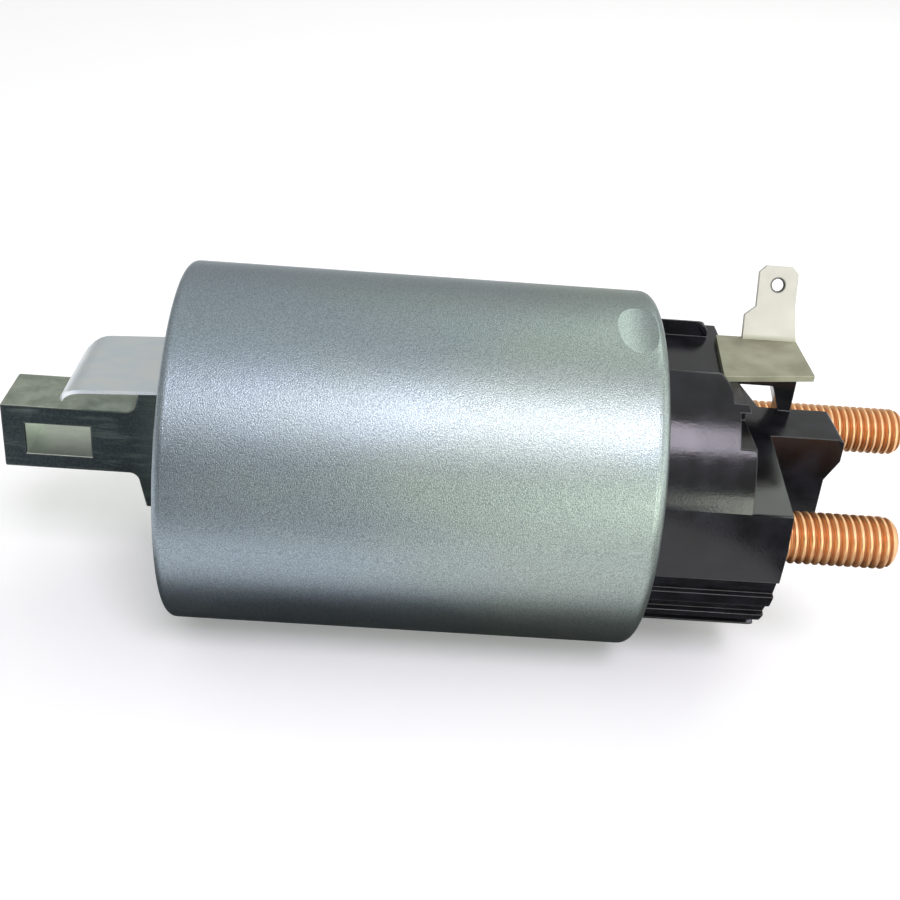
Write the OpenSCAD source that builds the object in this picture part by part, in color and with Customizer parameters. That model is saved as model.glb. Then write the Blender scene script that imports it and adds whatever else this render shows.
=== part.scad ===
// Starter solenoid relay: a crimped steel can with two windings, a plunger with a lever hook,
// and a moulded cap with two copper studs and a blade terminal.
// The axis of the can runs along X, the mounting face is at X = 0 and the blade terminal stands up along Z.

/* [Can] */
// Outside radius of the steel can
can_r = 28.5; // [27.5:0.1:31]
// Length of the can from the mounting face to the crimped rim
can_length = 73; // [70:0.5:78]
// Thickness of the side wall
can_wall = 2.2; // [1.8:0.1:2.6]
// Thickness of the front wall that holds the two threads
front_wall = 6; // [5:0.1:7]
// Rounding of the front edge
front_round_r = 1.3; // [0.6:0.1:2]
// Thickness of the rim that is crimped over the cap
crimp_lip = 1.6; // [1.3:0.1:2]
// Distance of each tapped hole from the outside of the can
bolt_inset = 7.5; // [6.5:0.1:8]
// Radius of each tapped hole before the thread is cut
bolt_hole_r = 2.5; // [2:0.1:2.7]
// Radius of the round tool that pressed the stake marks near the rim
stake_r = 10.8; // [9:0.2:13]
// Depth of the stake marks
stake_depth = 0.5; // [0.3:0.1:0.8]
// Turn of the stake marks about the axis, from the top towards the motor stud
stake_turn = 14; // [0:1:20]

/* [Plunger and hook] */
// Radius of the plunger as a share of the can's radius
plunger_share = 0.425; // [0.42:0.005:0.43]
// How far the plunger stands out of the mounting face at rest
plunger_proud = 3; // [2.5:0.1:3.2]
// Distance the plunger is pulled in
plunger_travel = 9.5; // [9:0.1:9.6]
// Radius of the hollow in the rear of the plunger
plunger_hollow_r = 6.6; // [6.4:0.1:7]
// Depth of the hollow
plunger_hollow_depth = 16; // [15:0.5:16.5]
// Half height of the hook
hook_half_h = 5.55; // [5:0.05:5.8]
// Distance of the hook tip from the mounting face
hook_reach = 28.3; // [27:0.1:29]
// Near face of the hook, measured from the axis
hook_near_y = 2.9; // [2.6:0.1:3]
// Thickness of the hook between its two faces
hook_depth = 10.9; // [10:0.1:11.5]
// Thickness of the tang that sits in the plunger
tang_t = 5; // [4:0.1:5.6]
// Distance of the shoulder from the mounting face
shoulder_reach = 6; // [5.6:0.1:6.4]
// Rounding of the flare between bar and shoulder
flare_r = 1.6; // [1:0.1:2]
// Length of the window through the hook
window_length = 10.2; // [9:0.1:11]
// Height of the window
window_h = 5.4; // [4.5:0.1:6]
// Radius of the cross pin that holds the hook
hook_pin_r = 2; // [1.5:0.1:2.2]

/* [Lever guard] */
// Half width of the guard leaf
guard_half_w = 9.7; // [8.5:0.1:10.5]
// Sheet thickness of the guard
guard_t = 0.6; // [0.5:0.05:0.7]
// Length of the straight part of the leaf in front of the mounting face
guard_length = 13.4; // [12:0.1:14]
// Drop of the leaf along its straight part
guard_drop = 0.7; // [0.4:0.1:1]
// Radius of the bend at the tip
guard_bend_r = 4.8; // [4:0.1:6]
// Angle of the bend at the tip
guard_bend_angle = 64; // [50:1:70]
// Height of the riveted foot
guard_foot_h = 6.6; // [6:0.1:7]
// Radius of the rivet shanks
guard_rivet_r = 1.1; // [0.9:0.05:1.3]

/* [Windings] */
// Wall of the brass guide sleeve
sleeve_wall = 0.45; // [0.4:0.05:0.5]
// Wall of the bobbin tube
bobbin_wall = 1.1; // [0.9:0.05:1.3]
// Thickness of the bobbin flanges
bobbin_flange = 1.5; // [1.2:0.1:2]
// Air round the taped windings inside the can
winding_air = 2.3; // [1.5:0.1:3]
// Share of the winding space that the pull-in winding takes
pull_in_share = 0.54; // [0.4:0.01:0.6]
// Thickness of the tape round the windings
wrap_t = 0.4; // [0.3:0.05:0.5]
// Thickness of the cushion ring in front of the bobbin
cushion_t = 0.6; // [0.4:0.1:0.8]

/* [Core and contacts] */
// Length of the fixed core as a share of the distance from the mounting face to the core plate
core_share = 0.213; // [0.2:0.001:0.22]
// Air gap between plunger and core when the plunger is pulled in
core_gap = 0.5; // [0.3:0.1:0.7]
// Thickness of the core plate
core_plate_t = 4.5; // [4:0.1:5]
// Thickness of the gasket between plate and cap
gasket_t = 0.8; // [0.6:0.1:1]
// Radius of the contact rod
rod_r = 2.5; // [2.2:0.1:2.6]
// Overlap of the contact disc and each stud head
disc_overlap = 4.8; // [4.3:0.1:4.9]
// Thickness of the contact disc
disc_t = 2; // [1.8:0.1:2.2]
// Distance between the disc and the stud heads at rest
contact_gap = 2.4; // [2.3:0.05:2.5]
// Share of the plunger travel that the rod follows
rod_share = 0.3; // [0.29:0.005:0.3]

/* [Cap] */
// Step from the outside of the can to the outside of the cap
cap_step = 4.2; // [4.1:0.1:4.5]
// Thickness of the cap flange under the crimp
cap_flange = 5.1; // [4.8:0.1:5.4]
// Length of the round collar behind the rim
collar_length = 11; // [10.5:0.1:11.5]
// Extra length of the raised edge on the collar
edge_length = 2.4; // [2:0.1:2.8]
// Distance of the boss face from the rim
boss_length = 19.5; // [19:0.1:20.5]
// Length of the barrier from the rim to its nose
barrier_length = 31.3; // [30:0.1:33]
// Half width of the barrier
barrier_half_w = 4.9; // [4.7:0.1:5.2]
// Height of the barrier top over the axis
barrier_h = 10; // [9.5:0.1:10.3]
// Drop of the boss top from the barrier to the side
boss_drop = 3.4; // [3:0.1:3.8]
// Half width of the channel for the blade terminal
channel_half_w = 9.2; // [8.8:0.1:9.4]
// Depth of the channel floor under the top of the cap
channel_depth = 4.5; // [4.3:0.05:4.6]

/* [Terminals] */
// Outside radius of the stud thread
stud_r = 4; // [3.8:0.05:4]
// Distance of each stud axis from the outside of the cap
stud_inset = 6.1; // [5.9:0.1:6.3]
// Reach of the motor stud from the rim
motor_stud_length = 37.2; // [36:0.1:39]
// Reach of the battery stud from the rim
battery_stud_length = 49.3; // [47:0.1:50]
// Rounding at the end of a stud
stud_round_r = 2.2; // [1.5:0.1:2.4]
// Depth of the contact chamber up to the stud heads
chamber_depth = 12.5; // [12.3:0.1:12.8]
// Thickness of the stud heads
head_t = 3; // [2.6:0.1:3.2]
// Radius of the stud heads
head_r = 7; // [6.6:0.1:7.2]
// Thickness of the terminal plate
plate_t = 1; // [0.8:0.05:1.2]
// Distance of the plate's far edge, which carries the blade, from the axis
plate_far_y = 8.1; // [7.8:0.1:8.3]
// Distance of the plate's near corner from the axis
plate_near_y = 7.1; // [6.6:0.1:7.6]
// Length of the terminal plate
plate_length = 14.4; // [13.4:0.1:15]
// Width of the blade
blade_w = 6.3; // [6.3:0.1:6.3]
// Thickness of the blade
blade_t = 0.8; // [0.8:0.05:0.8]
// Length of the blade over the plate
blade_length = 11.6; // [11:0.1:12.5]
// Lean of the blade away from the studs' plane
blade_lean = 20; // [0:1:25]
// Radius of the hole in the blade
blade_hole_r = 1; // [0.8:0.05:1.1]

/* [Springs] */
// Wire radius of the return spring
return_wire_r = 0.5; // [0.4:0.05:0.55]
// Turns of the return spring
return_turns = 8; // [6:1:9]
// Wire radius of the contact spring
contact_wire_r = 0.4; // [0.35:0.05:0.45]
// Turns of the contact spring
contact_turns = 3; // [3:1:3]
// Wire radius of the rod spring
rod_wire_r = 0.4; // [0.35:0.05:0.45]
// Turns of the rod spring
rod_turns = 6; // [5:1:7]

/* [Fits] */
// Running fit of the plunger in its sleeve and of the rod in the core
running_fit = 0.05; // [0.04:0.01:0.06]
// Assembly clearance between parts that don't move
fit = 0.1; // [0.08:0.01:0.12]
// Smallest air gap kept between moving parts
air = 0.3; // [0.3:0.01:0.35]

/* [Hidden] */

// Curve steps of round solids and of arcs inside outlines
round_steps = 96;
arc_steps = 8;
// Overlap that lets a cutting solid run past the face it cuts
past = 1;

steel = [0.62, 0.68, 0.68];
smooth_steel = [0.70, 0.73, 0.76];
dark_steel = [0.36, 0.37, 0.36];
brass = [0.78, 0.62, 0.30];
copper = [0.86, 0.52, 0.32];
wire_enamel = [0.55, 0.24, 0.12];
tape_cream = [0.85, 0.80, 0.66];
moulding = [0.05, 0.05, 0.06];
nylon = [0.86, 0.85, 0.78];
rubber_black = [0.09, 0.09, 0.09];
tin = [0.80, 0.79, 0.72];

// Radii of the nested tubes, from the plunger outwards
plunger_r = plunger_share * can_r;
sleeve_inner_r = plunger_r + running_fit;
sleeve_r = sleeve_inner_r + sleeve_wall;
bobbin_inner_r = sleeve_r + fit;
bobbin_tube_r = bobbin_inner_r + bobbin_wall;
can_inner_r = can_r - can_wall;
packed_r = can_inner_r - fit;
wrap_r = can_inner_r - winding_air;
hold_in_r = wrap_r - wrap_t;
pull_in_inner_r = bobbin_tube_r + fit;
pull_in_r = pull_in_inner_r + pull_in_share * (hold_in_r - pull_in_inner_r);
hold_in_inner_r = pull_in_r + fit;
cap_r = can_r - cap_step;

// Places along the axis, from the rim of the can backwards
flange_end_x = can_length - crimp_lip;
flange_x = flange_end_x - cap_flange;
gasket_x = flange_x - gasket_t;
core_plate_x = gasket_x - core_plate_t;
core_face_x = core_plate_x - core_share * core_plate_x;
bobbin_x = front_wall + cushion_t;
winding_x = bobbin_x + bobbin_flange;
winding_end_x = core_plate_x - bobbin_flange;
collar_end_x = can_length + collar_length;
edge_end_x = collar_end_x + edge_length;
boss_end_x = can_length + boss_length;
barrier_end_x = can_length + barrier_length;

// Guard: the foot lies in a pocket of the front wall, under two low rivet heads
guard_pocket_depth = 1.2;
guard_foot_x = guard_pocket_depth - guard_t;
guard_top_z = plunger_r + 2 * air + guard_t;
guard_foot_top_z = guard_top_z + guard_foot_h;
guard_slope = atan(guard_drop / guard_length);
guard_tip_r = 5;
rivet_head_r = 2;
rivet_head_t = 0.5;
rivet_end_x = 4;
rivet_y = 5;
rivet_z = guard_top_z + guard_foot_h / 2;
sleeve_x = guard_pocket_depth + fit;

// Can details
front_hole_r = sleeve_r + fit / 2;
rim_round_r = 1.9;
rim_gap = fit;
bolt_y = can_r - bolt_inset;
stake_x = (flange_x + flange_end_x) / 2;

// Plunger and hook at rest
plunger_end_x = core_face_x - core_gap - plunger_travel;
plunger_chamfer = 0.8;
hollow_x = plunger_end_x - plunger_hollow_depth;
hook_far_y = hook_depth - hook_near_y;
shoulder_half_h = sqrt(pow(plunger_r, 2) - pow(hook_near_y, 2)) - fit;
flare_slant = 1;
flare_turn = 10;
flare_x = -shoulder_reach - flare_slant - flare_r;
tang_end_x = 9;
window_wall = 3.7;
window_x = window_wall - hook_reach;
window_z = -0.3;
hook_pin_x = 4;
hook_pin_half = sqrt(pow(plunger_r, 2) - pow(hook_pin_r, 2)) - air;

// Contact set at rest
head_x = gasket_x + chamber_depth;
rod_travel = rod_share * plunger_travel;
rod_x = hollow_x + plunger_travel - rod_travel + air;
rod_chamfer = 0.5;
disc_end_x = head_x - contact_gap;
disc_x = disc_end_x - disc_t;
seat_t = 1;
seat_x = gasket_x + air;
seat_end_x = seat_x + seat_t;
bush_flange_t = 1.2;
bush_x = disc_x - bush_flange_t;
bush_wall = 1.7;
bush_r = rod_r + bush_wall;
washer_t = 0.6;
bush_end_x = disc_end_x + washer_t;
clip_t = 0.8;
clip_x = bush_end_x + air;
clip_end_x = clip_x + clip_t;
flange_width = 3.5;
flange_r = rod_r + flange_width;
clip_width = 2.5;
clip_r = rod_r + clip_width;
rod_tail = 5.2;
rod_end_x = clip_end_x + rod_tail;
disc_r = cap_r - stud_inset - head_r + disc_overlap;
rod_bore_r = rod_r + running_fit;

// Centre radii of the three springs
return_coil_r = plunger_hollow_r - return_wire_r - 2 * air;
contact_coil_r = flange_r - contact_wire_r - air;
rod_coil_r = clip_r - rod_wire_r - air;

// Cap
cap_wall = 2.7;
chamber_r = cap_r - cap_wall;
channel_z = cap_r - channel_depth;
chamber_roof = 1.6;
chamber_half_h = channel_z - chamber_roof;
chamber_end_x = head_x + head_t;
pocket_r = clip_r + air;
pocket_floor = 2.3;
pocket_end_x = boss_end_x - pocket_floor;
flat_depth = 0.17;
flat_r = cap_r - flat_depth;
flat_angles = [170.7, 184.2];
wall_end = 10.1;
wall_end_x = can_length + wall_end;
wall_top_z = sqrt(pow(cap_r, 2) - pow(channel_half_w, 2));
wall_round_r = 2.4;
edge_slant_w = 1.2;
edge_slant_h = 2.3;
notch_y = 10;
notch_z = 15;
notch_h = 3.9;
groove_angles = [195.5, 209.5, 223.5];
groove_w = 3.4;
groove_depth = 0.9;
groove_start = 0.3;
groove_x = can_length + groove_start;
end_pocket_depth = 5;
end_pocket_z = -8.4;
end_rib_half_w = 1.2;
skin = 1.8;
nose_step = 1.9;
nose_h = 4;
nose_slope_h = 3.4;
nose_top_z = barrier_h - nose_h;
nose_low_z = nose_top_z - nose_slope_h;
nose_round_r = 0.9;
post_gap = 3;
post_x = boss_end_x + post_gap;
post_w = 2;
post_end_x = post_x + post_w;
post_near_y = barrier_half_w - past;
post_far_y = 8;
post_low_z = -6;
arm_h = 5.5;
arm_low_z = channel_z - arm_h;
knee_w = 1.6;

// Studs
stud_y = cap_r - stud_inset;
motor_stud_end = can_length + motor_stud_length;
battery_stud_end = can_length + battery_stud_length;
shank_step = 0.2;
shank_r = stud_r + shank_step;
shank_proud = 0.3;
shank_end_x = boss_end_x + shank_proud;
stud_hole_r = shank_r + fit / 2;
seal_t = 1.5;
seal_wall = 1.6;
seal_r = stud_r + seal_wall;
stud_boss_r = 6.9;

// Blade terminal and leads
plate_start = 9.7;
plate_x = can_length + plate_start;
plate_skew = 1.5;
plate_taper = 2.2;
plate_end_x = plate_x + plate_length;
plate_top_z = channel_z + plate_t;
blade_inset = 0.8;
blade_end_x = plate_end_x - blade_inset;
blade_x = blade_end_x - blade_w;
base_shoulder_w = 1.7;
base_x = blade_x - base_shoulder_w;
shoulder_low_h = 3.6;
shoulder_high_h = 5;
blade_corner = 1.1;
blade_hole_h = 8.6;
stem_inset = 1.3;
stem_x = plate_x + stem_inset;
stem_half_w = 2;
lead_r = 0.6;
switch_lead_z = chamber_half_h - air - lead_r;
solder_r = 1.1;
solder_t = 0.9;
stem_low_z = switch_lead_z - solder_r;
motor_lead_inset = 0.9;
motor_lead_angle = 11.8;
motor_lead_place_r = chamber_r - motor_lead_inset;
motor_lead_y = -motor_lead_place_r * cos(motor_lead_angle);
motor_lead_z = -motor_lead_place_r * sin(motor_lead_angle);

// A 2D outline drawn in Y and Z, extruded along X
module along_x(x0, x1)
    translate([x0, 0, 0]) rotate([90, 0, 90]) linear_extrude(x1 - x0) children();

// A 2D outline drawn in X and Z, extruded along Y to both sides
module across_y(half_w)
    translate([0, half_w, 0]) rotate([90, 0, 0]) linear_extrude(2 * half_w) children();

// A profile drawn as radius and place, turned about the X axis
module turned()
    rotate([0, 90, 0]) rotate_extrude($fn = round_steps) children();

// A round bar along X
module bar(x0, x1, r)
    translate([x0, 0, 0]) rotate([0, 90, 0]) cylinder(r = r, h = x1 - x0, $fn = round_steps);

// A tube along X
module tube(x0, x1, inner, outer)
    difference() {
        bar(x0, x1, outer);
        bar(x0 - past, x1 + past, inner);
    }

// A box between two corners
module box(low, high)
    translate(low) cube(high - low);

// Points of an arc in an outline
function arc(x, y, r, from, to) =
    [for (i = [0 : arc_steps]) [x + r * cos(from + (to - from) * i / arc_steps),
                                y + r * sin(from + (to - from) * i / arc_steps)]];

// Points of one ring of a spring's wire
wire_sides = 6;
rings_per_turn = 8;

function spring_ring(x, turn_angle, coil_r, wire_r) =
    [for (i = [0 : wire_sides - 1])
        let (a = 360 * i / wire_sides,
             r = coil_r + wire_r * cos(a))
        [x + wire_r * sin(a), r * cos(turn_angle), r * sin(turn_angle)]];

// A compression spring along X as one unbroken wire
module spring(x0, x1, coil_r, wire_r, turns) {
    rings = turns * rings_per_turn;
    start_x = x0 + wire_r;
    pitch = (x1 - x0 - 2 * wire_r) / turns;
    points = [for (k = [0 : rings])
        each spring_ring(start_x + pitch * k / rings_per_turn, 360 * k / rings_per_turn, coil_r, wire_r)];
    sides = [for (k = [0 : rings - 1], i = [0 : wire_sides - 1])
        let (j = (i + 1) % wire_sides,
             a = k * wire_sides + i,
             b = k * wire_sides + j,
             c = b + wire_sides,
             d = a + wire_sides)
        each [[a, b, c], [a, c, d]]];
    first_cap = [for (i = [1 : wire_sides - 2]) [0, i + 1, i]];
    last = rings * wire_sides;
    last_cap = [for (i = [1 : wire_sides - 2]) [last, last + i, last + i + 1]];
    polyhedron(points = points, faces = concat(sides, first_cap, last_cap));
    echo(least_gap_between_turns = pitch - 2 * wire_r);
}

// The can: front wall with the plunger hole, two threads and the guard pocket, rim crimped inwards
module housing() {
    profile = concat(
        [[front_hole_r, 0]],
        arc(can_r - front_round_r, front_round_r, front_round_r, -90, 0),
        arc(can_r - rim_round_r, can_length - rim_round_r, rim_round_r, 0, 90),
        [[cap_r + rim_gap, can_length],
         [cap_r + rim_gap, flange_end_x],
         [can_inner_r, flange_end_x],
         [can_inner_r, front_wall],
         [front_hole_r, front_wall]]);
    color(steel) difference() {
        turned() polygon(profile);
        for (side = [-1, 1]) {
            translate([0, side * bolt_y, 0]) bar(-past, front_wall + past, bolt_hole_r);
            translate([0, side * rivet_y, rivet_z]) bar(0, rivet_end_x + fit, guard_rivet_r + fit / 2);
            stake_tool(side);
        }
        box([-past, -guard_half_w - fit, guard_top_z - guard_t - guard_drop - fit],
            [guard_pocket_depth, guard_half_w + fit, guard_foot_top_z + fit]);
    }
}

// The round tool that presses a stake mark, laid across the can
module stake_tool(side)
    rotate([stake_turn, 0, 0]) translate([stake_x, 0, side * (can_r + stake_r - stake_depth)])
        rotate([90, 0, 0]) cylinder(r = stake_r, h = can_r, center = true, $fn = round_steps);

// Side outline of the guard: foot, straight leaf and bent tip
module guard_outline() {
    end_z = guard_top_z - guard_drop;
    centre_x = -guard_length + guard_bend_r * sin(guard_slope);
    centre_z = end_z - guard_bend_r * cos(guard_slope);
    start = 90 + guard_slope;
    low_z = guard_top_z - guard_t;
    polygon(concat(
        [[guard_foot_x, guard_foot_top_z], [guard_foot_x, guard_top_z]],
        arc(centre_x, centre_z, guard_bend_r, start, start + guard_bend_angle),
        arc(centre_x, centre_z, guard_bend_r - guard_t, start + guard_bend_angle, start),
        [[0, low_z], [guard_pocket_depth, low_z], [guard_pocket_depth, guard_foot_top_z]]));
}

module lever_guard() {
    tip_x = -guard_length - guard_bend_r;
    color(smooth_steel) difference() {
        intersection() {
            across_y(guard_half_w) guard_outline();
            translate([0, 0, -past]) linear_extrude(guard_foot_top_z + 2 * past) union() {
                translate([tip_x + guard_tip_r, -guard_half_w])
                    square([guard_pocket_depth - tip_x, 2 * guard_half_w]);
                translate([tip_x, guard_tip_r - guard_half_w])
                    square([guard_tip_r + past, 2 * (guard_half_w - guard_tip_r)]);
                for (side = [-1, 1])
                    translate([tip_x + guard_tip_r, side * (guard_half_w - guard_tip_r)])
                        circle(r = guard_tip_r, $fn = round_steps);
            }
        }
        for (side = [-1, 1])
            translate([0, side * rivet_y, rivet_z])
                bar(0, guard_pocket_depth + past, guard_rivet_r + fit / 2);
    }
}

module guard_rivets()
    color(steel) for (side = [-1, 1])
        translate([0, side * rivet_y, rivet_z]) {
            bar(guard_foot_x - rivet_head_t, guard_foot_x, rivet_head_r);
            bar(guard_foot_x - rivet_head_t, rivet_end_x, guard_rivet_r);
        }

module guide_sleeve()
    color(brass) tube(sleeve_x, core_plate_x, sleeve_inner_r, sleeve_r);

module front_cushion()
    color(rubber_black) tube(front_wall, bobbin_x, bobbin_inner_r, hold_in_r);

module bobbin()
    color(nylon) difference() {
        union() {
            bar(bobbin_x, core_plate_x, bobbin_tube_r);
            bar(bobbin_x, winding_x, packed_r);
            bar(winding_end_x, core_plate_x, packed_r);
        }
        bar(bobbin_x - past, core_plate_x + past, bobbin_inner_r);
        lead_holes(winding_end_x - past, core_plate_x + past);
    }

// The ways of the two leads through whatever stands across them
module lead_holes(x0, x1) {
    translate([0, 0, switch_lead_z]) bar(x0, x1, lead_r + fit);
    translate([0, motor_lead_y, motor_lead_z]) bar(x0, x1, lead_r + fit);
}

module pull_in_winding()
    color(wire_enamel) tube(winding_x, winding_end_x, pull_in_inner_r, pull_in_r);

module hold_in_winding()
    color(wire_enamel) tube(winding_x, winding_end_x, hold_in_inner_r, hold_in_r);

module winding_wrap()
    color(tape_cream) tube(winding_x, winding_end_x, hold_in_r, wrap_r);

module fixed_core()
    color(steel) tube(core_face_x, core_plate_x, rod_bore_r, plunger_r);

module core_plate()
    color(steel) difference() {
        tube(core_plate_x, gasket_x, rod_bore_r, packed_r);
        lead_holes(core_plate_x - past, gasket_x + past);
    }

module cap_gasket()
    color(rubber_black) tube(gasket_x, flange_x, chamber_r, packed_r);

// Outline of the cap behind the rim, with flats on both sides
module collar_outline()
    difference() {
        circle(r = cap_r, $fn = round_steps);
        for (side = [0, 1], angle = flat_angles)
            mirror([side, 0]) rotate(angle) translate([flat_r, -cap_r]) square(2 * cap_r);
    }

// Outline of the bosses: full below, with a roof that falls from the barrier to both sides
module boss_outline() {
    low_roof = barrier_h - boss_drop;
    intersection() {
        collar_outline();
        polygon([[-cap_r, low_roof], [-barrier_half_w, barrier_h], [barrier_half_w, barrier_h],
                 [cap_r, low_roof], [cap_r, -cap_r], [-cap_r, -cap_r]]);
    }
}

// Hollows in the lower end face, round the stud bosses
module end_pocket_outline()
    difference() {
        intersection() {
            circle(r = cap_r - skin, $fn = round_steps);
            translate([-cap_r, -2 * cap_r]) square([2 * cap_r, 2 * cap_r + end_pocket_z]);
        }
        translate([-end_rib_half_w, -cap_r]) square([2 * end_rib_half_w, cap_r]);
        for (side = [-1, 1])
            translate([side * stud_y, 0]) circle(r = stud_boss_r, $fn = round_steps);
    }

module barrier() {
    low_x = barrier_end_x - nose_step;
    across_y(barrier_half_w) polygon(concat(
        [[collar_end_x, -barrier_h], [low_x, -barrier_h], [low_x, nose_low_z], [barrier_end_x, nose_top_z]],
        arc(barrier_end_x - nose_round_r, barrier_h - nose_round_r, nose_round_r, 0, 90),
        [[collar_end_x, barrier_h]]));
}

// What is taken off over the channel floor: everything behind the rounded ends of the walls,
// and a slant down the raised edge
module wall_end_cut()
    across_y(cap_r + past) polygon(concat(
        [[wall_end_x, channel_z]],
        arc(wall_end_x - wall_round_r, wall_top_z - wall_round_r, wall_round_r, 0, 90),
        [[wall_end_x - wall_round_r, cap_r + past], [edge_end_x + past, cap_r + past],
         [edge_end_x + past, channel_z - edge_slant_h], [edge_end_x, channel_z - edge_slant_h],
         [edge_end_x - edge_slant_w, channel_z]]));

// The arm under the blade and the post that it ends in, beside the barrier
module post()
    translate([0, (post_near_y + post_far_y) / 2, 0])
        across_y((post_far_y - post_near_y) / 2) polygon([
            [collar_end_x - past, channel_z], [post_end_x, channel_z], [post_end_x, post_low_z],
            [post_x, post_low_z], [post_x, barrier_h], [post_x - knee_w, arm_low_z],
            [collar_end_x - past, arm_low_z]]);

module cap()
    color(moulding) {
        cap_body();
        post();
    }

module cap_body()
    difference() {
        union() {
            bar(flange_x, flange_end_x, packed_r);
            along_x(flange_x, collar_end_x) collar_outline();
            along_x(flange_x, edge_end_x) difference() {
                collar_outline();
                for (side = [0, 1])
                    mirror([side, 0]) translate([notch_y, notch_z]) square([cap_r, notch_h]);
            }
            along_x(flange_x, boss_end_x) boss_outline();
            barrier();
        }
        along_x(flange_x - past, chamber_end_x) intersection() {
            circle(r = chamber_r, $fn = round_steps);
            square([2 * cap_r, 2 * chamber_half_h], center = true);
        }
        bar(chamber_end_x - past, pocket_end_x, pocket_r);
        for (side = [-1, 1]) translate([0, side * stud_y, 0]) {
            bar(chamber_end_x - past, boss_end_x + past, stud_hole_r);
            bar(chamber_end_x - past, chamber_end_x + seal_t, seal_r + fit / 2);
        }
        box([can_length - past, -channel_half_w, channel_z],
            [edge_end_x + past, channel_half_w, cap_r + past]);
        wall_end_cut();
        box([stem_x - fit, -stem_half_w - fit, stem_low_z - fit],
            [stem_x + plate_t + fit, stem_half_w + fit, channel_z + past]);
        translate([0, 0, switch_lead_z]) bar(chamber_end_x - past, stem_x, solder_r + fit);
        for (side = [0, 1], angle = groove_angles)
            mirror([0, side, 0]) rotate([angle, 0, 0])
                box([groove_x, cap_r - groove_depth, -groove_w / 2],
                    [boss_end_x + past, cap_r + past, groove_w / 2]);
        along_x(boss_end_x - end_pocket_depth, boss_end_x + past) difference() {
            end_pocket_outline();
            translate([-barrier_half_w - skin, -barrier_h - skin])
                square([2 * (barrier_half_w + skin), barrier_h + skin]);
        }
    }

// A stud with its head inside the chamber, a shank through the boss and a rounded outer end
module stud(y, end_x) {
    intersection() {
        translate([0, y, 0]) bar(head_x, chamber_end_x, head_r);
        bar(head_x - past, chamber_end_x + past, chamber_r - fit);
    }
    translate([0, y, 0]) turned() polygon(concat(
        [[0, chamber_end_x - past], [shank_r, chamber_end_x - past], [shank_r, shank_end_x],
         [stud_r, shank_end_x]],
        arc(stud_r - stud_round_r, end_x - stud_round_r, stud_round_r, 0, 90),
        [[0, end_x]]));
}

module motor_stud()
    color(copper) stud(-stud_y, motor_stud_end);

module battery_stud()
    color(copper) stud(stud_y, battery_stud_end);

module stud_seals()
    color(rubber_black) for (side = [-1, 1])
        translate([0, side * stud_y, 0]) tube(chamber_end_x, chamber_end_x + seal_t, stud_hole_r, seal_r);

// Side outline of the blade over the plate, drawn from the bend upwards
module blade_outline()
    polygon([[base_x, -plate_t], [base_x, shoulder_low_h], [blade_x, shoulder_high_h],
             [blade_x, blade_length - blade_corner], [blade_x + blade_corner, blade_length],
             [blade_end_x - blade_corner, blade_length], [blade_end_x, blade_length - blade_corner],
             [blade_end_x, shoulder_high_h], [plate_end_x, -plate_t]]);

module switch_terminal()
    color(tin) {
        translate([0, 0, channel_z]) linear_extrude(plate_t) polygon([
            [plate_x, -plate_near_y], [plate_end_x, plate_taper - plate_near_y],
            [plate_end_x, plate_far_y], [plate_x + plate_skew, plate_far_y]]);
        box([stem_x, -stem_half_w, stem_low_z], [stem_x + plate_t, stem_half_w, channel_z + plate_t / 2]);
        translate([0, plate_far_y, plate_top_z]) rotate([-blade_lean, 0, 0]) difference() {
            translate([0, -blade_t / 2, 0]) across_y(blade_t / 2) blade_outline();
            translate([(blade_x + blade_end_x) / 2, 0, blade_hole_h]) rotate([90, 0, 0])
                cylinder(r = blade_hole_r, h = 4 * blade_t, center = true, $fn = round_steps);
        }
    }

module switch_lead()
    color(wire_enamel) translate([0, 0, switch_lead_z]) bar(winding_end_x, stem_x, lead_r);

module switch_lead_solder()
    color(tin) translate([0, 0, switch_lead_z]) tube(stem_x - solder_t, stem_x, lead_r, solder_r);

module motor_lead()
    color(wire_enamel) translate([0, motor_lead_y, motor_lead_z]) bar(winding_end_x, head_x, lead_r);

// The hole across plunger and hook for the cross pin
module pin_hole()
    translate([hook_pin_x, 0, 0]) rotate([90, 0, 0])
        cylinder(r = hook_pin_r + fit / 2, h = 4 * plunger_r, center = true, $fn = round_steps);

module plunger()
    color(steel) difference() {
        turned() polygon([[0, -plunger_proud], [plunger_r - plunger_chamfer, -plunger_proud],
                          [plunger_r, plunger_chamfer - plunger_proud], [plunger_r, plunger_end_x],
                          [0, plunger_end_x]]);
        bar(hollow_x, plunger_end_x + past, plunger_hollow_r);
        box([-plunger_proud - past, -hook_near_y - fit / 2, -plunger_r - past],
            [tang_end_x + fit, tang_t - hook_near_y + fit / 2, plunger_r + past]);
        pin_hole();
    }

// The hook seen from the side: a bar that flares into a wide shoulder and tang
module hook_side_outline()
    polygon(concat(
        [[-hook_reach, -hook_half_h]],
        arc(flare_x, -hook_half_h - flare_r, flare_r, 90, flare_turn),
        [[-shoulder_reach, -shoulder_half_h], [tang_end_x, -shoulder_half_h],
         [tang_end_x, shoulder_half_h], [-shoulder_reach, shoulder_half_h]],
        arc(flare_x, hook_half_h + flare_r, flare_r, -flare_turn, -90),
        [[-hook_reach, hook_half_h]]));

module hook()
    color(dark_steel) difference() {
        intersection() {
            translate([0, hook_far_y, 0]) rotate([90, 0, 0]) linear_extrude(hook_depth) hook_side_outline();
            bar(-hook_reach - past, tang_end_x, plunger_r - fit);
        }
        box([-plunger_proud - fit, tang_t - hook_near_y, -plunger_r],
            [tang_end_x + past, hook_far_y + past, plunger_r]);
        box([window_x, -hook_near_y - past, window_z - window_h / 2],
            [window_x + window_length, hook_far_y + past, window_z + window_h / 2]);
        pin_hole();
    }

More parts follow.
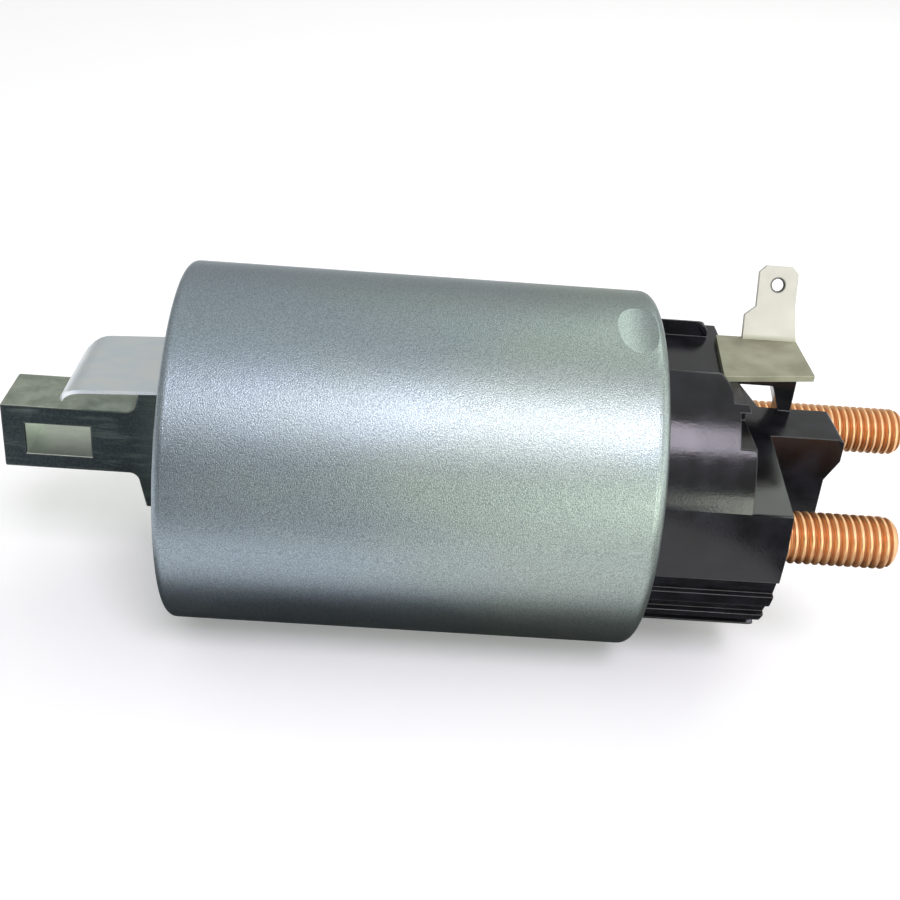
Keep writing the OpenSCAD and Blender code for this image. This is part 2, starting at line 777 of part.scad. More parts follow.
module hook_pin()
    color(steel) translate([hook_pin_x, 0, 0]) rotate([90, 0, 0])
        cylinder(r = hook_pin_r, h = 2 * hook_pin_half, center = true, $fn = round_steps);

module return_spring()
    color(steel) spring(hollow_x, core_face_x, return_coil_r, return_wire_r, return_turns);

module contact_rod()
    color(steel) turned() polygon([[0, rod_x], [rod_r - rod_chamfer, rod_x], [rod_r, rod_x + rod_chamfer],
                                   [rod_r, rod_end_x - rod_chamfer], [rod_r - rod_chamfer, rod_end_x],
                                   [0, rod_end_x]]);

module spring_seat()
    color(steel) tube(seat_x, seat_end_x, rod_r, flange_r);

module contact_spring()
    color(steel) spring(seat_end_x, bush_x, contact_coil_r, contact_wire_r, contact_turns);

module contact_bush()
    color(nylon) difference() {
        union() {
            bar(bush_x, disc_x, flange_r);
            bar(bush_x, bush_end_x, bush_r);
        }
        bar(bush_x - past, bush_end_x + past, rod_bore_r);
    }

module contact_disc()
    color(copper) tube(disc_x, disc_end_x, bush_r, disc_r);

module contact_washer()
    color(nylon) tube(disc_end_x, bush_end_x, bush_r, flange_r);

module rod_clip()
    color(steel) tube(clip_x, clip_end_x, rod_r, clip_r);

module rod_spring()
    color(steel) spring(clip_end_x, pocket_end_x, rod_coil_r, rod_wire_r, rod_turns);

housing();
lever_guard();
guard_rivets();
guide_sleeve();
front_cushion();
bobbin();
pull_in_winding();
hold_in_winding();
winding_wrap();
fixed_core();
core_plate();
cap_gasket();
cap();
motor_stud();
battery_stud();
stud_seals();
switch_terminal();
switch_lead();
switch_lead_solder();
motor_lead();
plunger();
hook();
hook_pin();
return_spring();
contact_rod();
spring_seat();
rod_clip();
rod_spring();
contact_spring();
contact_bush();
contact_washer();
contact_disc();
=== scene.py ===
# Looks of the starter solenoid relay: finishes, edges, studs, springs, floor, light and camera

import math

import bpy
from mathutils import Matrix, Vector

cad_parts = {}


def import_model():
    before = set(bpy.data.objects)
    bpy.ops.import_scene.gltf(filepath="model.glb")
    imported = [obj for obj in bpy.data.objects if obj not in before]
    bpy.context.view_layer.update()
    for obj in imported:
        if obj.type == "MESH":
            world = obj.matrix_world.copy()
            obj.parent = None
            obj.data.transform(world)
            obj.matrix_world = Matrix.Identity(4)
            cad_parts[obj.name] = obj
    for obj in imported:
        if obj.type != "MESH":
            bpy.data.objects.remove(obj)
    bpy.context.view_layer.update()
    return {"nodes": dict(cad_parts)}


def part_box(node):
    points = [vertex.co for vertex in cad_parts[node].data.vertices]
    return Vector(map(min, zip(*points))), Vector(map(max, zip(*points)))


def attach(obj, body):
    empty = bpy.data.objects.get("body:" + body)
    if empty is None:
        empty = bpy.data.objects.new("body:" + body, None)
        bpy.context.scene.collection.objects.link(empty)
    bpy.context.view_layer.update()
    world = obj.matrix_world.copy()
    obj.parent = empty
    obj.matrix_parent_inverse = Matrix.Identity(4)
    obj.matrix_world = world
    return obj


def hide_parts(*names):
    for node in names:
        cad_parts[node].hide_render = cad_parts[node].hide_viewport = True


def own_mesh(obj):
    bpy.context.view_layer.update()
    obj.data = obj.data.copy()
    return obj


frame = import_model()
nodes = frame["nodes"]

MM = 0.001


def placed(name, data):
    # A new object of the scene, made of that mesh, light or camera
    made = bpy.data.objects.new(name, data)
    bpy.context.scene.collection.objects.link(made)
    return made


# Short calls for the shader nodes that the finishes share

# Sockets of the Mix node when it mixes colours
FIRST_COLOUR = 6
SECOND_COLOUR = 7
MIXED_COLOUR = 2

# Values that nearly all of a cloud lies between
CLOUD_LOW = 0.3
CLOUD_HIGH = 0.7

# Likeness of the bevelled and the flat direction where wear begins and where it is full
WEAR_BEGINS = 0.995
WEAR_FULL = 0.9
BEVEL_SAMPLES = 8

# How much of a metal each kind of surface is
METAL = 1.0
ENAMEL = 0.3
NO_METAL = 0.0


class Graph:
    # One material's node tree. Lengths and noise scales are in millimetres.

    def __init__(self, name):
        self.material = bpy.data.materials.new(name)
        self.material.use_nodes = True
        self.tree = self.material.node_tree
        self.shader = self.tree.nodes["Principled BSDF"]
        self.coords = self.node("ShaderNodeTexCoord")

    def node(self, kind, **settings):
        made = self.tree.nodes.new(kind)
        for key, value in settings.items():
            setattr(made, key, value)
        return made

    def link(self, source, target):
        self.tree.links.new(source, target)

    def feed(self, socket, value):
        # A socket takes a link, a colour or a number
        if isinstance(value, bpy.types.NodeSocket):
            self.link(value, socket)
        elif isinstance(value, tuple):
            socket.default_value = (*value, 1.0)
        else:
            socket.default_value = value

    def along(self, axis, source="Object"):
        # One coordinate of the object, in metres, or of its surface direction
        split = self.node("ShaderNodeSeparateXYZ")
        self.link(self.coords.outputs[source], split.inputs["Vector"])
        return split.outputs[axis]

    def stretched(self, scale):
        mapping = self.node("ShaderNodeMapping")
        mapping.inputs["Scale"].default_value = [per_mm / MM for per_mm in scale]
        self.link(self.coords.outputs["Object"], mapping.inputs["Vector"])
        return mapping.outputs["Vector"]

    def noise(self, scale, detail=2.0, roughness=0.5):
        # Clouds whose scale is in waves per millimetre, one number or one for each axis
        scale = scale if isinstance(scale, tuple) else (scale, scale, scale)
        made = self.node("ShaderNodeTexNoise")
        made.inputs["Scale"].default_value = 1.0
        made.inputs["Detail"].default_value = detail
        made.inputs["Roughness"].default_value = roughness
        self.link(self.stretched(scale), made.inputs["Vector"])
        return made.outputs["Fac"]

    def span(self, value, start, end, low=0.0, high=1.0):
        # A value from start..end, brought to low..high
        made = self.node("ShaderNodeMapRange")
        ends = {"From Min": start, "From Max": end, "To Min": low, "To Max": high}
        for name, number in ends.items():
            made.inputs[name].default_value = number
        self.link(value, made.inputs["Value"])
        return made.outputs["Result"]

    def vary(self, cloud, low, high):
        # A number that runs from low to high with the cloud
        return self.span(cloud, CLOUD_LOW, CLOUD_HIGH, low, high)

    def mix(self, factor, first, second, blend="MIX"):
        made = self.node("ShaderNodeMix", data_type="RGBA", blend_type=blend)
        self.feed(made.inputs["Factor"], factor)
        self.feed(made.inputs[FIRST_COLOUR], first)
        self.feed(made.inputs[SECOND_COLOUR], second)
        return made.outputs[MIXED_COLOUR]

    def between(self, value, first, second, start=0.35, end=0.65):
        # A colour that runs from the first to the second over the middle of a cloud's range
        return self.mix(self.span(value, start, end), first, second)

    def bump(self, height, distance, strength, under=None):
        # Relief of that height, on top of another relief where there is one
        made = self.node("ShaderNodeBump")
        made.inputs["Strength"].default_value = strength
        made.inputs["Distance"].default_value = distance * MM
        self.link(height, made.inputs["Height"])
        if under:
            self.link(under, made.inputs["Normal"])
        return made.outputs["Normal"]

    def worn_edges(self, radius):
        # One along sharp edges and nought away from them
        rounded = self.node("ShaderNodeBevel", samples=BEVEL_SAMPLES)
        rounded.inputs["Radius"].default_value = radius * MM
        flat = self.node("ShaderNodeNewGeometry")
        likeness = self.node("ShaderNodeVectorMath", operation="DOT_PRODUCT")
        self.link(rounded.outputs["Normal"], likeness.inputs[0])
        self.link(flat.outputs["Normal"], likeness.inputs[1])
        return self.span(likeness.outputs["Value"], WEAR_BEGINS, WEAR_FULL)

    def plain(self, tone, roughness):
        # One grey and one roughness all over
        self.feed(self.shader.inputs["Base Color"], (tone, tone, tone))
        self.shader.inputs["Roughness"].default_value = roughness

    def finish(self, colour, roughness, metallic, normal):
        self.feed(self.shader.inputs["Base Color"], colour)
        self.feed(self.shader.inputs["Roughness"], roughness)
        self.shader.inputs["Metallic"].default_value = metallic
        self.link(normal, self.shader.inputs["Normal"])
        return self.material


# Finishes of the pieces that show

def can_zinc():
    # Zinc plate over a sandy surface, in patches bluish towards the hook and greenish towards the cap
    bluish = (0.390, 0.460, 0.510)
    greenish = (0.420, 0.485, 0.455)
    dull = (0.60, 0.61, 0.62)
    bright = (0.98, 0.98, 0.98)
    patch_reach = 0.4
    low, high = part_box("housing")
    bluish_x = low.x + 12.0 * MM
    greenish_x = high.x - 18.0 * MM
    graph = Graph("can_zinc")
    cloud = graph.noise((0.03, 0.05, 0.05), detail=3.0)
    grain = graph.noise(5.4, detail=1.0)
    fine = graph.noise(8.0, detail=0.0)
    patches = graph.node("ShaderNodeMath", operation="ADD", use_clamp=True)
    graph.link(graph.span(graph.along("X"), bluish_x, greenish_x), patches.inputs[0])
    graph.link(graph.vary(cloud, -patch_reach, patch_reach), patches.inputs[1])
    tint = graph.mix(patches.outputs["Value"], bluish, greenish)
    colour = graph.mix(1.0, tint, graph.between(grain, dull, bright), "MULTIPLY")
    sandy = graph.bump(grain, distance=0.055, strength=0.7)
    normal = graph.bump(fine, distance=0.014, strength=0.5, under=sandy)
    roughness = graph.vary(cloud, 0.37, 0.44)
    return graph.finish(colour, roughness, METAL, normal)


def guard_plate():
    # Smooth bright plated sheet with faint rolling marks
    cool = (0.78, 0.85, 0.90)
    warm = (0.84, 0.88, 0.88)
    graph = Graph("guard_plate")
    cloud = graph.noise((0.15, 0.25, 0.15))
    lines = graph.noise((0.3, 6.0, 0.3))
    colour = graph.between(cloud, cool, warm)
    roughness = graph.vary(lines, 0.30, 0.38)
    normal = graph.bump(lines, distance=0.01, strength=0.3)
    return graph.finish(colour, roughness, METAL, normal)


def hook_bar():
    # Milled bar: sides left dark, with streaks, and towards the root a painted sheen in the streak
    # colour. The top is olive grey, painted lighter than the sides as lit from above. The window's floor
    # and the faces turned to the studs are pale with painted light, the edges bright.
    dark = (0.032, 0.041, 0.045)
    mottled = (0.049, 0.063, 0.067)
    streak = (0.105, 0.132, 0.122)
    olive = (0.31, 0.35, 0.29)
    olive_light = (0.47, 0.515, 0.435)
    painted_pale_light = (0.86, 0.94, 0.83)
    bright = (0.74, 0.77, 0.70)
    streak_begins, streak_full = 0.5, 0.75
    root_x, root_sheen_share = -8.0 * MM, 0.9
    window_z, window_light_share = 2.0 * MM, 0.5
    up_begins, up_full = 0.3, 0.7
    right_begins, right_full = 0.8, 0.95
    graph = Graph("hook_bar")
    cloud = graph.noise(0.35, detail=4.0, roughness=0.6)
    lines = graph.noise((0.4, 5.0, 5.0), detail=3.0)
    streaks = graph.noise((0.12, 0.5, 0.9), detail=4.0, roughness=0.6)
    grain = graph.noise(2.5)
    # Painted sheen: the sides take more of the streak colour towards the root
    root_sheen = graph.span(graph.along("X"), root_x, 0.0, 0.0, root_sheen_share)
    streaky = graph.span(streaks, streak_begins, streak_full)
    bar = graph.mix(streaky, graph.between(grain, dark, mottled), streak)
    side = graph.mix(root_sheen, bar, streak)
    # Painted light on the window's floor, pale low down
    window_floor_light = graph.span(graph.along("Z"), 0.0, window_z, window_light_share, 0.0)
    lit_top_painted = graph.mix(window_floor_light, graph.between(cloud, olive, olive_light), painted_pale_light)
    # Painted light and shade by facing: faces turned up take the lighter olive top, the rest the dark
    # side
    turned_up = graph.span(graph.along("Z", "Normal"), up_begins, up_full)
    # Painted glint: faces turned to the studs are pale
    turned_right = graph.span(graph.along("X", "Normal"), right_begins, right_full)
    body = graph.mix(turned_right, graph.mix(turned_up, side, lit_top_painted), painted_pale_light)
    colour = graph.mix(graph.worn_edges(radius=0.3), body, bright)
    milled = graph.bump(lines, distance=0.012, strength=0.3)
    normal = graph.bump(grain, distance=0.012, strength=0.4, under=milled)
    roughness = graph.vary(lines, 0.34, 0.46)
    return graph.finish(colour, roughness, METAL, normal)


def black_moulding():
    # Glossy black thermoset with a faint flow texture and edges that have gone grey
    deep = (0.0050, 0.0052, 0.0060)
    hazy = (0.0110, 0.0112, 0.0150)
    scuffed = (0.13, 0.13, 0.125)
    specular_level = 0.42
    graph = Graph("black_moulding")
    cloud = graph.noise(0.25, detail=3.0)
    fine = graph.noise(3.2)
    flow = graph.noise((0.25, 1.4, 1.4), detail=3.0)
    colour = graph.mix(graph.worn_edges(radius=0.22), graph.between(cloud, deep, hazy), scuffed)
    flowing = graph.bump(flow, distance=0.03, strength=0.3)
    normal = graph.bump(fine, distance=0.022, strength=0.5, under=flowing)
    roughness = graph.vary(cloud, 0.13, 0.22)
    graph.shader.inputs["Specular IOR Level"].default_value = specular_level
    return graph.finish(colour, roughness, NO_METAL, normal)


def stud_copper():
    # Plain copper, golden on the crests, with painted shade in brown in the grooves
    golden = (0.88, 0.54, 0.29)
    rosy = (0.84, 0.46, 0.23)
    groove_shade = (0.45, 0.19, 0.08)
    groove_shade_begins, groove_shade_share = 0.3, 0.9
    graph = Graph("stud_copper")
    depth = graph.node("ShaderNodeAttribute", attribute_name="groove").outputs["Fac"]
    cloud = graph.noise(0.5, detail=3.0)
    fine = graph.noise(7.0)
    # Painted shade: brown in the grooves, by the mesh's groove depth
    painted_groove_shade = graph.span(depth, groove_shade_begins, 1.0, 0.0, groove_shade_share)
    colour = graph.mix(painted_groove_shade, graph.between(cloud, rosy, golden), groove_shade)
    roughness = graph.vary(cloud, 0.42, 0.54)
    normal = graph.bump(fine, distance=0.012, strength=0.35)
    return graph.finish(colour, roughness, METAL, normal)


def blade_hole(top):
    # Middle of the hole, worked out down the leaning blade from the top corner of the terminal's box
    lean = math.radians(20)
    from_end, from_top = 3.95 * MM, 3.0 * MM
    half_t = 0.4 * MM
    down = Vector((0, math.sin(lean), math.cos(lean))) * from_top
    inwards = Vector((0, math.cos(lean), math.sin(lean))) * half_t
    return top - Vector((from_end, 0, 0)) - down - inwards


def tin_sheet():
    # Dull tin-plated brass: yellowish and smudged on the plate, cleaner up the blade, with painted shade
    # in a dark ring round its hole
    smudged = (0.32, 0.315, 0.24)
    plain = (0.44, 0.435, 0.34)
    clean = (0.565, 0.555, 0.50)
    hole_shade = (0.10, 0.10, 0.085)
    hole_shade_r, clear_r = 1.20 * MM, 1.40 * MM
    blade_rise, bend_height = 11.174 * MM, 0.8 * MM
    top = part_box("switch_terminal")[1]
    bend_z = top.z - blade_rise
    graph = Graph("tin_sheet")
    cloud = graph.noise((0.2, 0.25, 0.25), detail=4.0)
    fine = graph.noise(3.0)
    up = graph.span(graph.along("Z"), bend_z, bend_z + bend_height)
    from_hole = graph.node("ShaderNodeVectorMath", operation="DISTANCE")
    from_hole.inputs[1].default_value = blade_hole(top)
    graph.link(graph.coords.outputs["Object"], from_hole.inputs[0])
    sheet = graph.mix(up, graph.between(cloud, smudged, plain), clean)
    # Painted shade in a dark ring round the blade's hole
    colour = graph.mix(graph.span(from_hole.outputs["Value"], hole_shade_r, clear_r), hole_shade, sheet)
    roughness = graph.vary(cloud, 0.54, 0.66)
    normal = graph.bump(fine, distance=0.015, strength=0.5)
    return graph.finish(colour, roughness, METAL, normal)


# Finishes of the plainer and the inner pieces

METAL_ROUGHNESS_SPREAD = 0.12
MOULDED_ROUGHNESS_SPREAD = 0.1


def turned_steel(name, light, dark, roughness):
    # Steel turned or drawn along its length, with fine lines round it
    graph = Graph(name)
    lines = graph.noise((7.0, 0.6, 0.6))
    cloud = graph.noise(0.3)
    colour = graph.between(cloud, dark, light)
    varied = graph.vary(lines, roughness, roughness + METAL_ROUGHNESS_SPREAD)
    normal = graph.bump(lines, distance=0.01, strength=0.4)
    return graph.finish(colour, varied, METAL, normal)


def plain_metal(name, light, dark, roughness):
    # Cast, rolled or soldered metal with soft clouds and a fine grain
    graph = Graph(name)
    cloud = graph.noise(0.4, detail=3.0)
    fine = graph.noise(5.0)
    colour = graph.between(cloud, dark, light)
    varied = graph.vary(cloud, roughness, roughness + METAL_ROUGHNESS_SPREAD)
    normal = graph.bump(fine, distance=0.01, strength=0.4)
    return graph.finish(colour, varied, METAL, normal)


def moulded(name, light, dark, roughness):
    # Moulded plastic or rubber with a soft grain
    graph = Graph(name)
    cloud = graph.noise(0.3, detail=3.0)
    fine = graph.noise(4.0)
    colour = graph.between(cloud, dark, light)
    varied = graph.vary(fine, roughness, roughness + MOULDED_ROUGHNESS_SPREAD)
    normal = graph.bump(fine, distance=0.02, strength=0.4)
    return graph.finish(colour, varied, NO_METAL, normal)


def wound_wire():
    # Enamelled wire, wound turn beside turn round the axis, with painted shade between the turns
    turn_gap_shade = (0.14, 0.04, 0.02)
    crown = (0.45, 0.16, 0.07)
    turn_scale = 0.35
    graph = Graph("wound_wire")
    turns = graph.node("ShaderNodeTexWave", bands_direction="X", wave_profile="SIN")
    turns.inputs["Scale"].default_value = turn_scale
    graph.link(graph.stretched((1.0, 1.0, 1.0)), turns.inputs["Vector"])
    height = turns.outputs["Fac"]
    cloud = graph.noise(0.6)
    # Painted shade: darker where the turns meet
    colour = graph.between(height, turn_gap_shade, crown, start=0.1, end=0.7)
    roughness = graph.vary(cloud, 0.28, 0.38)
    normal = graph.bump(height, distance=0.2, strength=0.8)
    return graph.finish(colour, roughness, ENAMEL, normal)


def woven_tape():
    # Cream cotton tape with a crossed weave
    shade = (0.52, 0.47, 0.34)
    cream = (0.70, 0.65, 0.50)
    weave_scale = 1.6
    graph = Graph("woven_tape")
    weave = graph.node("ShaderNodeTexChecker")
    weave.inputs["Scale"].default_value = weave_scale
    graph.link(graph.stretched((1.0, 1.0, 1.0)), weave.inputs["Vector"])
    cloud = graph.noise(0.5, detail=4.0)
    colour = graph.between(cloud, shade, cream)
    roughness = graph.vary(cloud, 0.80, 0.90)
    normal = graph.bump(weave.outputs["Fac"], distance=0.1, strength=0.5)
    return graph.finish(colour, roughness, NO_METAL, normal)


def solder():
    return plain_metal("solder", light=(0.66, 0.66, 0.64), dark=(0.50, 0.50, 0.48), roughness=0.25)


def drawn_brass():
    return plain_metal("drawn_brass", light=(0.72, 0.53, 0.22), dark=(0.60, 0.42, 0.16), roughness=0.25)


def plated_steel():
    return plain_metal("plated_steel", light=(0.62, 0.64, 0.64), dark=(0.50, 0.52, 0.52), roughness=0.3)


def spring_wire():
    return plain_metal("spring_wire", light=(0.48, 0.48, 0.47), dark=(0.34, 0.34, 0.33), roughness=0.28)


def plunger_steel():
    return turned_steel("turned_steel", light=(0.56, 0.57, 0.56), dark=(0.42, 0.43, 0.42), roughness=0.28)


def core_steel():
    return turned_steel("core_steel", light=(0.50, 0.51, 0.50), dark=(0.38, 0.38, 0.37), roughness=0.34)


def nylon():
    return moulded("nylon", light=(0.74, 0.71, 0.62), dark=(0.62, 0.60, 0.51), roughness=0.42)


def rubber():
    return moulded("rubber", light=(0.035, 0.035, 0.036), dark=(0.02, 0.02, 0.021), roughness=0.6)


# Which node wears which finish

def dress(material, *names):
    for name in names:
        slots = nodes[name].data.materials
        slots.clear()
        slots.append(material)


copper = stud_copper()

dress(can_zinc(), "housing")
dress(guard_plate(), "lever_guard")
dress(hook_bar(), "hook")
dress(black_moulding(), "cap")
dress(tin_sheet(), "switch_terminal")
dress(copper, "contact_disc")
dress(solder(), "switch_lead_solder")
dress(drawn_brass(), "guide_sleeve")
dress(plated_steel(), "guard_rivets", "hook_pin", "spring_seat")
dress(spring_wire(), "return_spring", "rod_spring", "contact_spring", "rod_clip")
dress(plunger_steel(), "plunger")
dress(core_steel(), "fixed_core", "core_plate", "contact_rod")
dress(nylon(), "bobbin", "contact_bush", "contact_washer")
dress(rubber(), "front_cushion", "cap_gasket", "stud_seals")
dress(wound_wire(), "pull_in_winding", "hold_in_winding", "switch_lead", "motor_lead")
dress(woven_tape(), "winding_wrap")


# Eased edges on the pieces that show

FLAT_ANGLE = math.radians(0.5)
EDGE_ANGLE = math.radians(35)
EDGE_SEGMENTS = 2
WELD_DISTANCE = 0.001 * MM


def ease(name, width, flat=False):
    # Rounds the sharp edges of a node by that width. Flat is for a thin plate with a small hole,
    # whose facets are first joined into whole faces.
    nodes[name].modifiers.new("joined", "WELD").merge_threshold = WELD_DISTANCE
    if flat:
        whole = nodes[name].modifiers.new("whole faces", "DECIMATE")
        whole.decimate_type = "DISSOLVE"
        whole.angle_limit = FLAT_ANGLE
    rounded = nodes[name].modifiers.new("eased edges", "BEVEL")
    rounded.width = width * MM
    rounded.segments = EDGE_SEGMENTS
    rounded.limit_method = "ANGLE"
    rounded.angle_limit = EDGE_ANGLE
    rounded.use_clamp_overlap = False
    nodes[name].modifiers.new("shading", "WEIGHTED_NORMAL")


ease("hook", width=0.22)
ease("cap", width=0.16)
ease("switch_terminal", width=0.08, flat=True)


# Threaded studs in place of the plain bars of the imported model

THREAD_R = 4.0 * MM
THREAD_PITCH = 1.25 * MM
THREAD_DEPTH = 0.62 * MM
CREST_SHARE = 0.30
ROOT_SHARE = 0.10
FLANK_SHARE = (1.0 - CREST_SHARE - ROOT_SHARE) / 2
SHANK_R = 4.2 * MM
SHANK_LENGTH = 14.8 * MM
HEAD_R = 7.0 * MM
HEAD_T = 3.0 * MM
HEAD_REACH = 21.5 * MM
STUD_ROUND_R = 2.2 * MM
AROUND = 64
STEPS_PER_PITCH = 12


def groove_share(turns):
    # Nought on the crest and one at the root, for a place counted in turns of the thread
    from_root = abs(turns % 1.0 - 0.5) - ROOT_SHARE / 2
    return min(1.0, max(0.0, 1.0 - from_root / FLANK_SHARE))


def thread_radius(x, end, groove):
    # Radius of the thread, which fades in at the shank and is rounded off at the stud's end
    radius = THREAD_R - THREAD_DEPTH * groove
    past_round = x - (end - STUD_ROUND_R)
    if past_round <= 0:
        return radius
    rounded = THREAD_R - STUD_ROUND_R + math.sqrt(max(0.0, STUD_ROUND_R ** 2 - past_round ** 2))
    return min(radius, rounded)


def ring_point(x, radius, turn, axis_y):
    # The point of a ring round the stud's axis, at a share of a whole turn
    angle = math.tau * turn
    return x, axis_y + radius * math.cos(angle), radius * math.sin(angle)


def head_point(x, radius, turn, axis_y):
    # The same, but no further from the can's axis than the cap leaves room for
    x, y, z = ring_point(x, radius, turn, axis_y)
    inside = HEAD_REACH / max(math.hypot(y, z), HEAD_REACH)
    return x, y * inside, z * inside


def stud_rings(axis_y, low_x, end):
    # Points and groove shares of the stud, ring by ring from the head to the outer end
    turns = [place / AROUND for place in range(AROUND)]
    head_x = low_x + HEAD_T
    shank_x = low_x + SHANK_LENGTH
    plain = [(low_x, 0.0), (low_x, HEAD_R), (head_x, HEAD_R), (head_x, SHANK_R), (shank_x, SHANK_R)]
    points = [head_point(x, radius, turn, axis_y) for x, radius in plain for turn in turns]
    grooves = [0.0] * len(points)
    steps = round((end - shank_x) / THREAD_PITCH * STEPS_PER_PITCH)
    for step in range(steps + 1):
        x = shank_x + (end - shank_x) * step / steps
        fade = min(1.0, (x - shank_x) / THREAD_PITCH)
        for turn in turns:
            groove = fade * groove_share(x / THREAD_PITCH - turn)
            points.append(ring_point(x, thread_radius(x, end, groove), turn, axis_y))
            grooves.append(groove)
    points += [(end, axis_y, 0.0)] * AROUND
    grooves += [0.0] * AROUND
    return points, grooves


def threaded_stud(name, node, side):
    # The rings joined by faces. Side is which way along Y the stud lies from the can's axis.
    low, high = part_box(node)
    axis_y = side * HEAD_R + (low.y if side > 0 else high.y)
    points, grooves = stud_rings(axis_y, low.x, high.x)
    faces = []
    for ring in range(len(points) // AROUND - 1):
        for place in range(AROUND):
            here = ring * AROUND + place
            beside = ring * AROUND + (place + 1) % AROUND
            faces.append((here, beside, beside + AROUND, here + AROUND))
    mesh = bpy.data.meshes.new(name)
    mesh.from_pydata(points, [], faces)
    mesh.attributes.new("groove", "FLOAT", "POINT").data.foreach_set("value", grooves)
    mesh.materials.append(copper)
    mesh.polygons.foreach_set("use_smooth", [True] * len(mesh.polygons))
    stud = placed(name, mesh)
    stud.modifiers.new("weld", "WELD").merge_threshold = WELD_DISTANCE
    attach(stud, "can")
    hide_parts(node)


threaded_stud("motor_stud_threaded", "motor_stud", side=-1)
threaded_stud("battery_stud_threaded", "battery_stud", side=1)


# Springs copied from the nodes' own coils


def working_spring(name, node, body):
    # A copy of the node's own coil, attached to that body in place of the hidden node
    spring = placed(name, nodes[node].data.copy())
    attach(spring, body)
    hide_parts(node)
    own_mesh(spring)


working_spring("return_coil", "return_spring", "can")
working_spring("rod_coil", "rod_spring", "can")
working_spring("contact_coil", "contact_spring", "rod_unit")


# Flat rectangles for the floor and the cards

def lying(low_x, high_x, near_y, far_y, z):
    return [(low_x, near_y, z), (high_x, near_y, z), (high_x, far_y, z), (low_x, far_y, z)]


def standing(low_x, high_x, y, low_z, high_z):
    return [(low_x, y, low_z), (high_x, y, low_z), (high_x, y, high_z), (low_x, y, high_z)]


def flat_face(name, corners):
    mesh = bpy.data.meshes.new(name)
    mesh.from_pydata(corners, [], [(0, 1, 2, 3)])
    return placed(name, mesh)


# Floor

FLOOR_HALF = 6.0
FLOOR_TONE = 0.88
FLOOR_ROUGHNESS = 0.8
FLOOR_GLOW = 0.20


def floor():
    # A pale matt floor under the can. Its faint glow for rays that see it, and not for those that
    # light other things, brings it to white.
    made = flat_face("floor", lying(-FLOOR_HALF, FLOOR_HALF, -FLOOR_HALF, FLOOR_HALF, 0))
    made.location = (0, 0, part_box("housing")[0].z)
    graph = Graph("floor_paper")
    rays = graph.node("ShaderNodeLightPath")
    seen = graph.node("ShaderNodeMath", operation="MAXIMUM")
    seen_glossy = graph.node("ShaderNodeMath", operation="MAXIMUM")
    graph.link(rays.outputs["Is Camera Ray"], seen.inputs[0])
    graph.link(rays.outputs["Is Glossy Ray"], seen.inputs[1])
    graph.link(seen.outputs["Value"], seen_glossy.inputs[0])
    graph.link(rays.outputs["Is Transmission Ray"], seen_glossy.inputs[1])
    glow = graph.span(seen_glossy.outputs["Value"], 0.0, 1.0, 0.0, FLOOR_GLOW)
    graph.plain(FLOOR_TONE, FLOOR_ROUGHNESS)
    graph.feed(graph.shader.inputs["Emission Color"], (1.0, 1.0, 1.0))
    graph.link(glow, graph.shader.inputs["Emission Strength"])
    made.data.materials.append(graph.material)


# Dark cards that only reflections show: painted shade in the reflections, for dark surroundings near the
# object and, under it, for the can's shadow

CARD_TONE = 0.03
CARD_ROUGHNESS = 0.9
CARD_LIFT = 0.2 * MM


def dark_card(name, corners):
    made = flat_face(name, corners)
    made.visible_camera = False
    made.visible_diffuse = False
    made.visible_shadow = False
    graph = Graph(name)
    graph.plain(CARD_TONE, CARD_ROUGHNESS)
    made.data.materials.append(graph.material)


def dark_cards():
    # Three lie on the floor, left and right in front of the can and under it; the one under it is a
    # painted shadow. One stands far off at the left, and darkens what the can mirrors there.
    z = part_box("housing")[0].z + CARD_LIFT
    left = lying(low_x=-0.20, high_x=0.045, near_y=-0.30, far_y=-0.088, z=z)
    right = lying(low_x=0.105, high_x=0.26, near_y=-0.30, far_y=-0.045, z=z)
    under = lying(low_x=-0.03, high_x=0.125, near_y=-0.036, far_y=0.036, z=z)
    far_left = standing(low_x=-0.50, high_x=0.03, y=-0.50, low_z=0.0, high_z=0.36)
    dark_card("dark_card_left", left)
    dark_card("dark_card_right", right)
    # Painted shadow under the can, seen only in reflections
    dark_card("shadow_card_under", under)
    dark_card("dark_card_far_left", far_left)


# Light: a world that is darker at the horizon than above, and four soft lamps

HORIZON = (0.35, 0.35, 0.35, 1.0)
ZENITH = (0.74, 0.75, 0.73, 1.0)
TARGET = Vector((0.045, 0.0, 0.0))


def world():
    made = bpy.data.worlds.new("world")
    made.use_nodes = True
    tree = made.node_tree
    place = tree.nodes.new("ShaderNodeTexCoord")
    split = tree.nodes.new("ShaderNodeSeparateXYZ")
    shade = tree.nodes.new("ShaderNodeMix")
    shade.data_type = "RGBA"
    shade.inputs[FIRST_COLOUR].default_value = HORIZON
    shade.inputs[SECOND_COLOUR].default_value = ZENITH
    tree.links.new(place.outputs["Generated"], split.inputs["Vector"])
    tree.links.new(split.outputs["Z"], shade.inputs["Factor"])
    tree.links.new(shade.outputs[MIXED_COLOUR], tree.nodes["Background"].inputs["Color"])
    bpy.context.scene.world = made


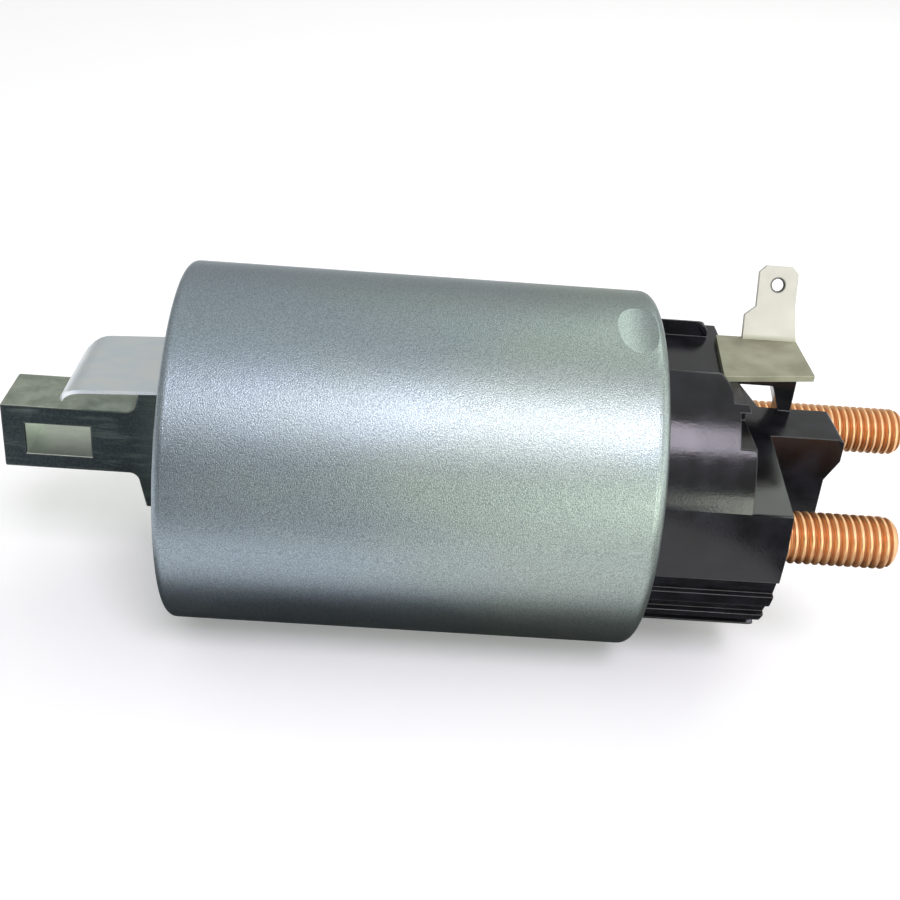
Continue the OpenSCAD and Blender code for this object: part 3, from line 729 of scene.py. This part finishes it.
def softbox(name, place, size, power, colour):
    light = bpy.data.lights.new(name, "AREA")
    light.shape = "RECTANGLE"
    light.size, light.size_y = size
    light.energy = power
    light.color = colour
    made = placed(name, light)
    made.location = place
    made.rotation_euler = (TARGET - Vector(place)).to_track_quat("-Z", "Y").to_euler()


def lamps():
    softbox("key", place=(0.20, -0.57, 0.73), size=(0.34, 0.32), power=4.3, colour=(0.88, 0.82, 0.95))
    softbox("front fill", place=(0.52, -0.80, 0.08), size=(0.50, 0.24), power=2.8,
            colour=(0.94, 1.0, 0.86))
    softbox("right fill", place=(0.95, -0.10, 0.25), size=(0.90, 0.80), power=3.2,
            colour=(1.0, 1.0, 1.0))
    softbox("back right fill", place=(0.38, 0.35, 0.55), size=(0.34, 0.34), power=0.8,
            colour=(0.92, 1.0, 0.90))


# Camera at the photograph's place, fitted to the can's outline and both studs

PHOTO_PX = 900
FOCAL_PX = 1295.9
CENTRE_PX = (440.5, 441.7)
SENSOR = 36.0
NEAREST = 10.0 * MM
CAMERA_PLACE = Vector((34.0, -182.2, 104.7)) * MM
CAMERA_TURN = math.radians(-2.24)
CAMERA_HEIGHT = math.radians(29.31)
CAMERA_ROLL = math.radians(4.82)


def camera():
    back = Vector((math.sin(CAMERA_TURN) * math.cos(CAMERA_HEIGHT),
                   -math.cos(CAMERA_TURN) * math.cos(CAMERA_HEIGHT), math.sin(CAMERA_HEIGHT)))
    level = Vector((math.cos(CAMERA_TURN), math.sin(CAMERA_TURN), 0))
    right = math.cos(CAMERA_ROLL) * level + math.sin(CAMERA_ROLL) * back.cross(level)
    data = bpy.data.cameras.new("camera")
    data.sensor_width = SENSOR
    data.lens = FOCAL_PX / PHOTO_PX * SENSOR
    data.shift_x = 0.5 - CENTRE_PX[0] / PHOTO_PX
    data.shift_y = CENTRE_PX[1] / PHOTO_PX - 0.5
    data.clip_start = NEAREST
    made = placed("camera", data)
    turn = Matrix((right, back.cross(right), back)).transposed().to_4x4()
    made.matrix_world = Matrix.Translation(CAMERA_PLACE) @ turn
    bpy.context.scene.camera = made


floor()
dark_cards()
world()
lamps()
camera()
bpy.context.scene.view_settings.view_transform = "Standard"
